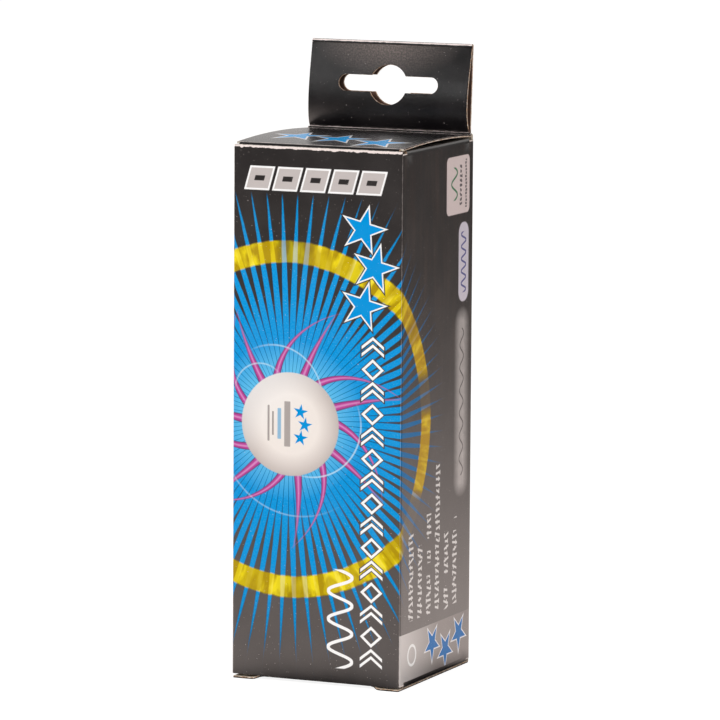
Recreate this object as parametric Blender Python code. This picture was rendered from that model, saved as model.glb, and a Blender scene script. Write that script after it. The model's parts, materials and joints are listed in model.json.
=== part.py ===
"""Hang carton holding three table tennis balls: a creased board box with a two-ply hang header.

Metres, +Z up. The origin is the centre of the face it rests on, the front panel faces -Y and the
right side panel faces +X. Every panel is a flat board drawn in its own plane, with its origin on
the crease it turns about: halfway through the board, or on its inner face for a tuck flap.
"""

import math

import bmesh
import bpy
from mathutils import Vector

MM = 0.001

# Carton: outside sizes of the square tube and the board it is creased from.
WIDTH = 42.0 * MM
DEPTH = 42.0 * MM
BOARD = 0.45 * MM
GAP = 0.05 * MM
HALF = BOARD / 2

# Heights above the floor.
BOTTOM_CLOSURE = HALF
BOTTOM_DUST = BOTTOM_CLOSURE + BOARD + 2 * GAP
SIDE_FOOT = BOTTOM_DUST + HALF + GAP
FRONT_FOOT = 0.8 * MM
BACK_FOOT = BOARD + 2 * GAP
FRONT_TOP = 125.45 * MM
TOP_DUST = FRONT_TOP - HALF - GAP
SIDE_TOP = TOP_DUST - HALF - GAP
BACK_TOP = 126.1 * MM
GLUE_FLAP_FOOT = 3.0 * MM
GLUE_FLAP_TOP = 122.0 * MM
GLUE_FLAP_WIDTH = 11.0 * MM

# Lid: a crowned board, hinged at the foot of the header.
LID_WIDTH = 41.3 * MM
LID_HINGE = Vector((0, 19.75 * MM, 126.15 * MM))
LID_REAR_Y = 19.7 * MM
LID_REAR_TOP = 126.1 * MM
LID_FRONT_TOP = 125.97 * MM
LID_CROWN = 0.8 * MM
LID_STEPS = 14

# Tuck flaps stand just inside the front panel and lean in at their free end. Each one turns about
# the inner corner of its crease, so that it can fold in towards the panel it is creased to.
TUCK_LENGTH = 11.75 * MM
TUCK_WIDTH = 39.6 * MM
TUCK_START = GAP
TUCK_LEAN = math.radians(1.7)
TUCK_INNER_Y = -DEPTH / 2 + 2 * BOARD + 2 * GAP
TUCK_CLEARANCE = 0.02 * MM
TUCK_CORNER = 5.0 * MM
CLOSURE_FRONT_Y = -20.1 * MM

# Bottom closure: shoulders reach the front face on both sides of the tuck flap's neck.
BOTTOM_WIDTH = 41.4 * MM
SHOULDER_FRONT_Y = -20.95 * MM
SHOULDER_INNER_X = 15.3 * MM
BOTTOM_REAR_SPARE = 0.075 * MM
NECK_HALF_WIDTH = 14.2 * MM
NECK_LENGTH = 0.85 * MM

# Dust flaps: hinged on the side panels, with a long taper at the rear that lets the closure pass.
DUST_LENGTH = 17.0 * MM
DUST_FRONT_Y = -18.6 * MM
DUST_TIP_FRONT_Y = -16.2 * MM
DUST_REAR_Y = 18.2 * MM
DUST_TAPER_START = 1.2 * MM
DUST_TIP_REAR_Y = 4.6 * MM
DUST_CORNER = 3.0 * MM

# Header: two plies that lean back, with one hang slot through both.
HEADER_WIDTH = 41.2 * MM
HEADER_FOOT = 126.15 * MM
HEADER_HEIGHT = 21.15 * MM
HEADER_LEAN = math.radians(3.35)
HEADER_CORNER = 0.6 * MM
FRONT_PLY_FOOT_Y = 20.05 * MM + HALF
BACK_PLY_FOOT_Y = DEPTH / 2 - HALF
SLOT_LENGTH = 25.2 * MM
SLOT_WIDTH = 3.95 * MM
SLOT_ABOVE_FOOT = 11.1 * MM
EYE_DIAMETER = 9.56 * MM
EYE_ABOVE_FOOT = 10.9 * MM
CUTTER_DEPTH = 6.0 * MM
SLOT_END_ROUNDNESS = 0.99

# Balls: stacked on the bottom flaps, each one two half shells that meet at a seam.
BALL_RADIUS = 20.15 * MM
BALL_WALL = 0.5 * MM
BALL_SEAM = 0.04 * MM
BALL_FLOOR = BOTTOM_DUST + HALF + GAP
BALL_SEGMENTS = 24
BALL_RINGS = 7
BALL_NAMES = ("lower_ball", "middle_ball", "upper_ball")
BALL_TILTS = ((70, 0, 25), (35, 15, -40), (-25, 20, 10))

ARC_STEPS = 6

# Colours: base colour, roughness.
PRINTED_BOARD = ((0.022, 0.019, 0.021), 0.35)
HEADER_BOARD = ((0.028, 0.022, 0.024), 0.35)
RAW_BOARD = ((0.62, 0.57, 0.50), 0.85)
BALL_PLASTIC = ((0.86, 0.85, 0.82), 0.45)


def clear_scene():
    for obj in list(bpy.data.objects):
        bpy.data.objects.remove(obj, do_unlink=True)


def finish(name, look):
    """A Principled material of this part's own."""
    colour, roughness = look
    material = bpy.data.materials.new(name + "_finish")
    material.use_nodes = True
    shader = material.node_tree.nodes["Principled BSDF"]
    shader.inputs["Base Color"].default_value = (*colour, 1)
    shader.inputs["Roughness"].default_value = roughness
    shader.inputs["Metallic"].default_value = 0
    material.diffuse_color = (*colour, 1)
    return material


def add_object(name, bm, look):
    """Turns the bmesh into a named object with its faces pointing out."""
    bmesh.ops.recalc_face_normals(bm, faces=bm.faces)
    mesh = bpy.data.meshes.new(name)
    bm.to_mesh(mesh)
    bm.free()
    obj = bpy.data.objects.new(name, mesh)
    bpy.context.scene.collection.objects.link(obj)
    if look:
        mesh.materials.append(finish(name, look))
    return obj


def place(obj, location, rotation):
    obj.location = location
    obj.rotation_euler = rotation
    return obj


def rounded(corners, steps=ARC_STEPS):
    """Outline through (x, y, radius) corners, each one turned into an arc where its radius is above 0."""
    outline = []
    for i, (x, y, radius) in enumerate(corners):
        here = Vector((x, y))
        if radius <= 0:
            outline.append(here)
            continue
        back = (Vector(corners[i - 1][:2]) - here).normalized()
        on = (Vector(corners[(i + 1) % len(corners)][:2]) - here).normalized()
        half_angle = back.angle(on) / 2
        reach = radius / math.tan(half_angle)
        centre = here + (back + on).normalized() * radius / math.sin(half_angle)
        start = here + back * reach - centre
        turn = (here + on * reach - centre).angle_signed(start)
        for step in range(steps + 1):
            angle = turn * step / steps
            cos, sin = math.cos(angle), math.sin(angle)
            outline.append(
                centre + Vector((start.x * cos - start.y * sin, start.x * sin + start.y * cos))
            )
    return outline


def board(name, outline, look, thickness=BOARD, middle=0.0):
    """A closed flat sheet: the outline in local X and Y, half its thickness to each side of its middle."""
    bm = bmesh.new()
    base = bm.faces.new([bm.verts.new((x, y, middle - thickness / 2)) for x, y in outline])
    made = bmesh.ops.extrude_face_region(bm, geom=[base])
    raised = [v for v in made["geom"] if isinstance(v, bmesh.types.BMVert)]
    bmesh.ops.translate(bm, verts=raised, vec=(0, 0, thickness))
    return add_object(name, bm, look)


def rectangle(width, foot, top):
    return [Vector(p) for p in ((-width / 2, foot), (width / 2, foot), (width / 2, top), (-width / 2, top))]


def facing(heading, lean=0.0):
    """Stands a board up, with its outside turned to the heading: 0 is the front, 90 the right side."""
    return (math.radians(90) - lean, 0, math.radians(heading))


def walls():
    """The four panels of the tube and the flap that glues it shut inside the back panel."""
    front_y = -DEPTH / 2 + HALF
    side_x = WIDTH / 2 - HALF
    side_width = DEPTH - 2 * (BOARD + GAP)
    place(
        board("front_panel", rectangle(WIDTH, FRONT_FOOT, FRONT_TOP), PRINTED_BOARD),
        (0, front_y, 0),
        facing(0),
    )
    place(
        board("right_side_panel", rectangle(side_width, SIDE_FOOT, SIDE_TOP), PRINTED_BOARD),
        (side_x, 0, 0),
        facing(90),
    )
    place(
        board("back_panel", rectangle(WIDTH, BACK_FOOT, BACK_TOP), PRINTED_BOARD),
        (0, -front_y, 0),
        facing(180),
    )
    place(
        board("left_side_panel", rectangle(side_width, SIDE_FOOT, SIDE_TOP), PRINTED_BOARD),
        (-side_x, 0, 0),
        facing(-90),
    )
    taper = GLUE_FLAP_WIDTH / 2
    flap = [
        (0, GLUE_FLAP_FOOT),
        (GLUE_FLAP_WIDTH, GLUE_FLAP_FOOT + taper),
        (GLUE_FLAP_WIDTH, GLUE_FLAP_TOP - taper),
        (0, GLUE_FLAP_TOP),
    ]
    place(
        board("glue_flap", flap, RAW_BOARD),
        (-WIDTH / 2 + BOARD + GAP, -front_y - BOARD - GAP, 0),
        facing(0),
    )


def lid_panel():
    """A shallow arch from the header's foot to the front crease, with its origin on the hinge."""
    upper, lower = [], []
    for step in range(LID_STEPS + 1):
        share = step / LID_STEPS
        y = LID_REAR_Y + (CLOSURE_FRONT_Y - LID_REAR_Y) * share
        z = LID_REAR_TOP + (LID_FRONT_TOP - LID_REAR_TOP) * share + 4 * LID_CROWN * share * (1 - share)
        upper.append((y - LID_HINGE.y, z - LID_HINGE.z))
        lower.append((y - LID_HINGE.y, z - LID_HINGE.z - BOARD))
    profile = upper + lower[::-1]
    bm = bmesh.new()
    side = bm.faces.new([bm.verts.new((-LID_WIDTH / 2, y, z)) for y, z in profile])
    made = bmesh.ops.extrude_face_region(bm, geom=[side])
    moved = [v for v in made["geom"] if isinstance(v, bmesh.types.BMVert)]
    bmesh.ops.translate(bm, verts=moved, vec=(LID_WIDTH, 0, 0))
    place(add_object("lid_panel", bm, PRINTED_BOARD), LID_HINGE, (0, 0, 0))


def tuck_outline(neck):
    """A flap from just past its crease to its rounded free end, with a narrower neck if asked for."""
    half, top = TUCK_WIDTH / 2, TUCK_LENGTH
    head = [(half, top, TUCK_CORNER), (-half, top, TUCK_CORNER)]
    if not neck:
        return rounded([(-half, TUCK_START, 0), (half, TUCK_START, 0)] + head)
    right = [(NECK_HALF_WIDTH, TUCK_START, 0), (NECK_HALF_WIDTH, NECK_LENGTH, 0), (half, NECK_LENGTH, 0)]
    left = [(-x, y, radius) for x, y, radius in reversed(right)]
    return rounded(left[1:] + right + head + left[:1])


def tuck_flaps():
    """The lid's tuck flap hangs down behind the front panel, and the bottom's stands up behind it."""
    place(
        board("lid_tuck_flap", tuck_outline(neck=False), PRINTED_BOARD, middle=-HALF),
        (0, TUCK_INNER_Y, LID_FRONT_TOP - BOARD - TUCK_CLEARANCE),
        (math.radians(-90) + TUCK_LEAN, 0, 0),
    )
    place(
        board("bottom_tuck_flap", tuck_outline(neck=True), PRINTED_BOARD, middle=HALF),
        (0, TUCK_INNER_Y, BOARD + TUCK_CLEARANCE),
        facing(0, TUCK_LEAN),
    )


def bottom_panel():
    """Hinged on the back panel's foot; its shoulders pass under the front panel's corners."""
    hinge_y = DEPTH / 2 - HALF
    half = BOTTOM_WIDTH / 2
    crease = hinge_y - CLOSURE_FRONT_Y
    shoulder = hinge_y - SHOULDER_FRONT_Y
    right = [
        (half, -BOTTOM_REAR_SPARE),
        (half, shoulder),
        (SHOULDER_INNER_X, shoulder),
        (NECK_HALF_WIDTH, crease),
    ]
    left = [(-x, y) for x, y in reversed(right)]
    place(
        board("bottom_panel", right + left, PRINTED_BOARD),
        (0, hinge_y, BOTTOM_CLOSURE),
        (math.radians(180), 0, 0),
    )


def dust_outline(side):
    """Drawn along +Y from the crease, with its front edge on local -X for the right flap."""
    corners = [
        (DUST_REAR_Y, -GAP, 0),
        (DUST_FRONT_Y, -GAP, 0),
        (DUST_TIP_FRONT_Y, DUST_LENGTH, DUST_CORNER),
        (DUST_TIP_REAR_Y, DUST_LENGTH, DUST_CORNER),
        (DUST_REAR_Y, DUST_TAPER_START, 0),
    ]
    return rounded([(side * x, y, radius) for x, y, radius in corners])


def dust_flaps():
    """Two at the top and two at the bottom, each one lying in from its side panel."""
    for side, word in ((1, "right"), (-1, "left")):
        hinge_x = side * (WIDTH / 2 - HALF)
        turn = math.radians(90 * side)
        for level, height in (("top", TOP_DUST), ("bottom", BOTTOM_DUST)):
            place(
                board(f"{level}_{word}_dust_flap", dust_outline(side), RAW_BOARD),
                (hinge_x, 0, height),
                (0, 0, turn),
            )


def slot_cutter():
    """A long slot with round ends and a round eye in its middle, standing at the foot of the header."""
    radius = SLOT_WIDTH / 2
    reach = SLOT_LENGTH / 2
    low, high = SLOT_ABOVE_FOOT - radius, SLOT_ABOVE_FOOT + radius
    corners = [(-reach, low), (reach, low), (reach, high), (-reach, high)]
    ends = rounded([(x, y, radius * SLOT_END_ROUNDNESS) for x, y in corners])
    bar = board("slot_bar", ends, None, CUTTER_DEPTH)
    steps = 4 * ARC_STEPS
    circle = [
        (
            EYE_DIAMETER / 2 * math.cos(2 * math.pi * step / steps),
            EYE_ABOVE_FOOT + EYE_DIAMETER / 2 * math.sin(2 * math.pi * step / steps),
        )
        for step in range(steps)
    ]
    eye = board("slot_eye", circle, None, CUTTER_DEPTH)
    for cutter in (bar, eye):
        place(cutter, (0, BACK_PLY_FOOT_Y, HEADER_FOOT), facing(0, HEADER_LEAN))
        cutter.hide_render = True
        cutter.display_type = "WIRE"
    return bar, eye


def header():
    """The back ply carries on from the back panel, and the front ply folds down over it to the lid."""
    half, top = HEADER_WIDTH / 2, HEADER_HEIGHT
    outline = rounded(
        [(-half, 0, 0), (half, 0, 0), (half, top, HEADER_CORNER), (-half, top, HEADER_CORNER)]
    )
    cutters = slot_cutter()
    plies = (
        ("header_front_ply", FRONT_PLY_FOOT_Y, facing(0, HEADER_LEAN)),
        ("header_back_ply", BACK_PLY_FOOT_Y, facing(180, -HEADER_LEAN)),
    )
    for name, foot_y, rotation in plies:
        ply = place(board(name, outline, HEADER_BOARD), (0, foot_y, HEADER_FOOT), rotation)
        for cutter in cutters:
            cut = ply.modifiers.new(cutter.name, "BOOLEAN")
            cut.operation = "DIFFERENCE"
            cut.object = cutter
            cut.solver = "EXACT"


def shell_arc(radius, rim_height):
    """Points in the XZ plane from the rim, at +X, up to the pole."""
    start = math.asin(rim_height / radius)
    arc = []
    for step in range(BALL_RINGS + 1):
        angle = start + (math.pi / 2 - start) * step / BALL_RINGS
        x = 0 if step == BALL_RINGS else radius * math.cos(angle)
        arc.append((x, 0, radius * math.sin(angle)))
    return arc


def half_shell(name, centre, tilt, side):
    """Half of a hollow ball, on the +Z side of its seam or the -Z side, open at the seam."""
    outer = shell_arc(BALL_RADIUS, BALL_SEAM / 2)
    inner = shell_arc(BALL_RADIUS - BALL_WALL, BALL_SEAM / 2)
    path = outer[::-1] + inner
    bm = bmesh.new()
    points = [bm.verts.new((x, y, side * z)) for x, y, z in path]
    for start, end in zip(points, points[1:]):
        bm.edges.new((start, end))
    bmesh.ops.spin(
        bm,
        geom=bm.verts[:] + bm.edges[:],
        cent=(0, 0, 0),
        axis=(0, 0, 1),
        angle=2 * math.pi,
        steps=BALL_SEGMENTS,
        use_merge=True,
    )
    bmesh.ops.remove_doubles(bm, verts=bm.verts, dist=0.001 * MM)
    obj = place(add_object(name, bm, BALL_PLASTIC), centre, tilt)
    obj.data.shade_smooth()
    obj.data.set_sharp_from_angle(angle=math.radians(40))


def balls():
    for i, (name, tilt) in enumerate(zip(BALL_NAMES, BALL_TILTS)):
        centre = (0, 0, BALL_FLOOR + BALL_RADIUS + i * (2 * BALL_RADIUS + GAP))
        angles = tuple(math.radians(a) for a in tilt)
        half_shell(name + "_half_a", centre, angles, 1)
        half_shell(name + "_half_b", centre, angles, -1)


clear_scene()
walls()
lid_panel()
tuck_flaps()
bottom_panel()
dust_flaps()
header()
balls()
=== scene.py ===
"""Looks of the hang carton of table tennis balls: printed board, raw cut edges, balls and studio.

Sheets are drawn in millimetres in their own unfolded plane (u across, v along), bent onto the
carton by a surface function, and given the board's thickness. The artwork is worked out from the
same unfolded millimetres, which every sheet carries as the attribute "sheet".
"""

import json
import math

import bmesh
import bpy
from mathutils import Matrix, Vector


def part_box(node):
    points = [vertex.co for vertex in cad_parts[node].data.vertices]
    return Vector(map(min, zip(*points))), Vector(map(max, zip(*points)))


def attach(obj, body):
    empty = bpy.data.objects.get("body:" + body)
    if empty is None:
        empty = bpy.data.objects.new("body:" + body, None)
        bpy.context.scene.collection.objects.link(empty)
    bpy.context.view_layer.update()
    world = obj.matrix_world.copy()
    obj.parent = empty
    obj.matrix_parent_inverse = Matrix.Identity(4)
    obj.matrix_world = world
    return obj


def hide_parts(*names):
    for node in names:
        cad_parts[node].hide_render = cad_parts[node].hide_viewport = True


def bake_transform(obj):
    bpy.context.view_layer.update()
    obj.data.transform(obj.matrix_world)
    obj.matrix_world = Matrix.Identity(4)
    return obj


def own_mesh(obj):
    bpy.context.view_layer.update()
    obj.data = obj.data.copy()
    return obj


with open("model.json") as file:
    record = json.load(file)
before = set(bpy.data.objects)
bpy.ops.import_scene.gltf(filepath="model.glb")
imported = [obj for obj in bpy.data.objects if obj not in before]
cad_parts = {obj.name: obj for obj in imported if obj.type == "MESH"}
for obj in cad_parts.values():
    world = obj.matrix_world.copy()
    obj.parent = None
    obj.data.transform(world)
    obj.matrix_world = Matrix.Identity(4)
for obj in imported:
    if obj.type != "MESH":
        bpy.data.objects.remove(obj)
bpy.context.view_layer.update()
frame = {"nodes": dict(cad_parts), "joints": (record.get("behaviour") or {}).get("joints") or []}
MM = 0.001

# The filled carton is pressed a little wider than the frame by its balls; its header isn't.
SPREAD = 1.02


# ---------------------------------------------------------------- sizes taken from the frame


def node_box(node):
    low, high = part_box(node)
    return low / MM, high / MM


def joint_point(name):
    joint = next(j for j in frame["joints"] if j["name"] == name)
    return Vector(joint["pos_m"]) / MM


FRONT_LOW, FRONT_HIGH = node_box("front_panel")
SIDE_LOW, SIDE_HIGH = node_box("right_side_panel")
BACK_LOW, BACK_HIGH = node_box("back_panel")
HALF_WIDTH = FRONT_HIGH.x
FRONT_Y = FRONT_LOW.y
BACK_Y = BACK_HIGH.y
BOARD = FRONT_HIGH.y - FRONT_LOW.y

LID_HINGE = joint_point("lid_hinge")
LID_LOW, LID_HIGH = node_box("lid_panel")
TOP_DUST_LOW, TOP_DUST_HIGH = node_box("top_right_dust_flap")
BOTTOM_DUST_LOW, BOTTOM_DUST_HIGH = node_box("bottom_right_dust_flap")
BOTTOM_LOW, BOTTOM_HIGH = node_box("bottom_panel")
LID_TUCK_LOW, LID_TUCK_HIGH = node_box("lid_tuck_flap")
BOTTOM_TUCK_LOW, BOTTOM_TUCK_HIGH = node_box("bottom_tuck_flap")
GLUE_LOW, GLUE_HIGH = node_box("glue_flap")
PLY_LOW, PLY_HIGH = node_box("header_front_ply")
BACK_PLY_LOW, BACK_PLY_HIGH = node_box("header_back_ply")

# Unfolded width: the front panel is centred on u = 0, the right side follows it, then the back.
SIDE_U = HALF_WIDTH - FRONT_Y
BACK_U = SIDE_U + BACK_Y + HALF_WIDTH

# Bends and cut edges.
CORNER = 0.7
CREASE = 0.55
EDGE_BEVEL = 0.05
GRID = 3.0
ARC_STEPS = 8

# Header: foot, lean and slot, as in the frame.
PLY_FOOT = LID_HINGE.z
PLY_HALF_WIDTH = PLY_HIGH.x / SPREAD
HEADER_LEAN = math.radians(3.35)
HEADER_HEIGHT = (PLY_HIGH.z - PLY_FOOT) / math.cos(HEADER_LEAN)
HEADER_CORNER = 0.6
SLOT_HALF_LENGTH = 12.6
SLOT_HALF_WIDTH = 1.975
SLOT_HEIGHT = 11.1
EYE_RADIUS = 4.78
EYE_HEIGHT = 10.9
PLY_BOW_LEFT = 1.4
PLY_BOW_RIGHT = 2.2
FOLD_RADIUS = 0.25
TURNED_DOWN = 0.35
REAR_SLOT_SHIFT = 0.5
BOW_SKEW = 0.63

# Lid: crown of its printed side.
LID_CROWN = 0.8
LID_SAG = 0.12
LID_HALF_WIDTH = LID_HIGH.x
LID_VALLEY = 0.35

# Flaps.
TUCK_LEAN = math.radians(1.7)
TUCK_CORNER = 5.0
DUST_REACH = HALF_WIDTH - TOP_DUST_LOW.x
DUST_TIP_FRONT = -16.2
DUST_TIP_REAR = 4.6
DUST_TAPER_START = 1.2
DUST_CORNER = 3.0
SHOULDER_INNER = 15.3
NECK_HALF_WIDTH = 14.2
NECK_TOP = 1.35


# ---------------------------------------------------------------- outlines and bends


def rounded(corners, steps=8):
    """Outline through (x, y, radius) corners, each one an arc where its radius is above 0."""
    outline = []
    for i, (x, y, radius) in enumerate(corners):
        here = Vector((x, y))
        if radius <= 0:
            outline.append(here)
            continue
        back = (Vector(corners[i - 1][:2]) - here).normalized()
        on = (Vector(corners[(i + 1) % len(corners)][:2]) - here).normalized()
        half_angle = back.angle(on) / 2
        reach = radius / math.tan(half_angle)
        centre = here + (back + on).normalized() * radius / math.sin(half_angle)
        start = here + back * reach - centre
        turn = (here + on * reach - centre).angle_signed(start)
        for step in range(steps + 1):
            angle = turn * step / steps
            outline.append(centre + Matrix.Rotation(angle, 2) @ start)
    return outline


def rectangle(left, foot, right, top):
    return [Vector(p) for p in ((left, foot), (right, foot), (right, top), (left, top))]


def stations(low, high, spacing=GRID):
    """Evenly spaced places between low and high, both ends left out."""
    count = max(1, round((high - low) / spacing))
    return [low + (high - low) * i / count for i in range(1, count)]


def bend_path(start, heading, *steps):
    """A line in a plane, made of straight lengths and (radius, turn in degrees) arcs.

    Returns a function from the distance along it to a point, which carries on straight before
    its start and past its end, the distances where its pieces meet, and grid lines along it.
    """
    pieces, lines = [], []
    point, angle, passed = Vector(start), math.radians(heading), 0.0
    for step in steps:
        if isinstance(step, tuple):
            turn = math.radians(step[1])
            length = step[0] * abs(turn)
            lines += [passed + length * i / ARC_STEPS for i in range(ARC_STEPS + 1)]
        else:
            turn, length = 0.0, step
            lines += stations(passed, passed + length)
        pieces.append((passed, length, point.copy(), angle, turn))
        point = travel(point, angle, turn, length, length)
        angle += turn
        passed += length
    joints = [piece[0] for piece in pieces] + [passed]

    def at(distance):
        reached = [piece for piece in pieces if distance >= piece[0]]
        begin, length, origin, direction, turn = reached[-1] if reached else pieces[0]
        along = distance - begin
        if along > length:
            end = travel(origin, direction, turn, length, length)
            return travel(end, direction + turn, 0.0, 1.0, along - length)
        return travel(origin, direction, turn if along > 0 else 0.0, length, along)

    return at, joints, [line for line in lines if 1e-3 < line < passed - 1e-3]


def travel(origin, direction, turn, length, along):
    """The point reached from origin, along a straight line or an arc that turns evenly."""
    if abs(turn) < 1e-9:
        return origin + along * Vector((math.cos(direction), math.sin(direction)))
    radius = length / turn
    ahead = direction + turn * along / length
    return origin + radius * Vector(
        (math.sin(ahead) - math.sin(direction), math.cos(direction) - math.cos(ahead))
    )


# ---------------------------------------------------------------- sheets of board


def flat_region(outline, holes, lines_u, lines_v):
    """The outline filled in its own plane, less its holes, and cut along the grid lines."""
    bm = bmesh.new()
    for loop in [outline] + holes:
        points = [bm.verts.new((p[0], p[1], 0)) for p in loop]
        for a, b in zip(points, points[1:] + points[:1]):
            bm.edges.new((a, b))
    bmesh.ops.triangle_fill(bm, use_beauty=True, use_dissolve=False, edges=bm.edges[:])
    for axis, lines in ((0, lines_u), (1, lines_v)):
        normal = Vector((1, 0, 0)) if axis == 0 else Vector((0, 1, 0))
        for line in lines:
            bmesh.ops.bisect_plane(
                bm,
                geom=bm.verts[:] + bm.edges[:] + bm.faces[:],
                dist=1e-4,
                plane_co=normal * line,
                plane_no=normal,
            )
    bmesh.ops.recalc_face_normals(bm, faces=bm.faces)
    if sum(face.normal.z for face in bm.faces) < 0:
        bmesh.ops.reverse_faces(bm, faces=bm.faces)
    cells = [e for e in bm.edges if len(e.link_faces) == 2 and is_diagonal(e)]
    bmesh.ops.dissolve_edges(bm, edges=cells, use_verts=False)
    return bm


def is_diagonal(edge):
    """An edge left over from the filling, inside one grid cell: its two faces make one convex quad."""
    a, b = edge.verts
    across = b.co - a.co
    if abs(across.x) < 1e-4 or abs(across.y) < 1e-4:
        return False
    if not all(len(face.verts) == 3 for face in edge.link_faces):
        return False
    corners = {v for face in edge.link_faces for v in face.verts}
    xs = sorted({round(v.co.x, 3) for v in corners})
    ys = sorted({round(v.co.y, 3) for v in corners})
    return len(xs) == 2 and len(ys) == 2


def surface_frame(surface, u, v, step=0.01):
    """A point of the printed side and the direction it faces."""
    across = surface(u + step, v) - surface(u - step, v)
    along = surface(u, v + step) - surface(u, v - step)
    return surface(u, v), across.cross(along).normalized()


def no_joint(u, v):
    return False


def sheet(name, outline, surface, looks, holes=(), lines_u=(), lines_v=(), joint=no_joint, offset=(0, 0)):
    """A closed board: its printed side on the surface, its raw side one board thickness behind.

    looks are the materials of the printed side, the raw side and the cut edges. Cut edges get a
    small bevel, except where joint(u, v) says that the board carries on in another sheet. offset
    is added to u and v in the sheet attribute, so that the artwork carries on as well.
    """
    bm = flat_region(outline, list(holes), lines_u, lines_v)
    place = bm.verts.layers.float_vector.new("sheet")
    rim = {v for v in bm.verts if v.is_boundary}
    rim_places = {(round(v.co.x, 4), round(v.co.y, 4)) for v in rim}
    strip = bmesh.ops.inset_region(
        bm, faces=bm.faces[:], thickness=EDGE_BEVEL, use_boundary=True, use_even_offset=True
    )["faces"]
    strip = set(strip)
    upper = bm.faces[:]
    for face in upper:
        face.material_index = 2 if face in strip else 0
    made = bmesh.ops.extrude_face_region(bm, geom=upper, use_keep_orig=True)["geom"]
    raised = {item for item in made if isinstance(item, bmesh.types.BMVert)}
    for face in bm.faces:
        count = sum(v in raised for v in face.verts)
        if count == len(face.verts):
            face.material_index = 2 if face.material_index == 2 else 0
        elif count == 0:
            face.material_index = 2 if face.material_index == 2 else 1
        else:
            face.material_index = 2
    joined = set()
    for v in raised:
        v.co.z = 1.0
    bmesh.ops.recalc_face_normals(bm, faces=bm.faces)
    for v in bm.verts:
        u, along = v.co.x, v.co.y
        at_rim = (round(u, 4), round(along, 4)) in rim_places
        carries_on = at_rim and joint(u, along)
        bevel = EDGE_BEVEL if at_rim and not carries_on else 0.0
        if carries_on:
            joined.add(v)
        depth = bevel if v in raised else BOARD - bevel
        point, facing = surface_frame(surface, u, along)
        v[place] = (u + offset[0], along + offset[1], depth)
        v.co = (point - facing * depth) * MM
        v.co.x *= SPREAD
    for face in bm.faces:
        if face.material_index == 2 and sum(v in joined for v in face.verts) == 2:
            face.material_index = 0 if all(v in raised for v in face.verts) else 1
    mesh = bpy.data.meshes.new(name)
    bm.to_mesh(mesh)
    bm.free()
    mesh.shade_smooth()
    mesh.set_sharp_from_angle(angle=math.radians(32))
    for look in looks:
        mesh.materials.append(look)
    piece = bpy.data.objects.new(name, mesh)
    bpy.context.scene.collection.objects.link(piece)
    return piece


# ---------------------------------------------------------------- the carton's panels


def corner_bend(u, left, right, radius=CORNER):
    """How far round its corner a wall has gone at u: 0 on the flat, 45 degrees at its end."""
    if u > right - radius:
        return (u - (right - radius)) / radius * math.pi / 4
    if u < left + radius:
        return -((left + radius) - u) / radius * math.pi / 4
    return 0.0


def wall_surface(left, right, depth, turned, bow=0.1, radius=CORNER):
    """A wall that ends in half a corner at each side. depth is its distance from the centre."""
    foot, top = SIDE_LOW.z, SIDE_HIGH.z
    turn = Matrix.Rotation(math.radians(turned), 3, "Z")

    def surface(u, v):
        angle = corner_bend(u, left, right, radius)
        flat = min(max(u, left + radius), right - radius)
        x = flat + radius * math.sin(angle)
        y = -depth + radius * (1 - math.cos(angle))
        across = 1 - ((2 * flat - left - right) / (right - left - 2 * radius)) ** 2
        height = min(max((v - foot) / (top - foot), 0), 1)
        y -= bow * across * math.sin(math.pi * height) * math.cos(angle) ** 4
        return turn @ Vector((x, y, v))

    return surface


def corner_lines(left, right, radius=CORNER, steps=6):
    """Grid lines across a wall: close together round its corners, wide apart on the flat."""
    lines = stations(left + radius, right - radius)
    for side in range(steps + 1):
        lines.append(left + radius * side / steps)
        lines.append(right - radius * side / steps)
    return sorted(lines)


FOOT_SKEW = 0.25


def near(a, b, tolerance=2e-3):
    return abs(a - b) < tolerance


def front_wall(looks):
    left, right, foot, top = -HALF_WIDTH, HALF_WIDTH, FRONT_LOW.z, FRONT_HIGH.z
    piece = sheet(
        "front_wall",
        [Vector(p) for p in ((left, foot + FOOT_SKEW), (right, foot), (right, top), (left, top))],
        wall_surface(left, right, -FRONT_Y, 0),
        looks,
        lines_u=corner_lines(left, right),
        lines_v=stations(foot, top),
        joint=lambda u, v: near(abs(u), right) and foot + 0.01 < v < top - 0.01,
    )
    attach(piece, "carton")
    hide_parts("front_panel")


def stepped_wall(left, right, foot, top, notch_left, notch_right, low, high):
    """A side wall's outline: its dust flaps carry on from low and high, between their notches."""
    return [
        Vector(p)
        for p in (
            (left, foot), (notch_left, foot), (notch_left, low), (notch_right, low),
            (notch_right, foot), (right, foot), (right, top), (notch_right, top),
            (notch_right, high), (notch_left, high), (notch_left, top), (left, top),
        )
    ]


WALL_LOW_JOINT = 1.8
WALL_HIGH_JOINT = SIDE_HIGH.z - 0.6


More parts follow.
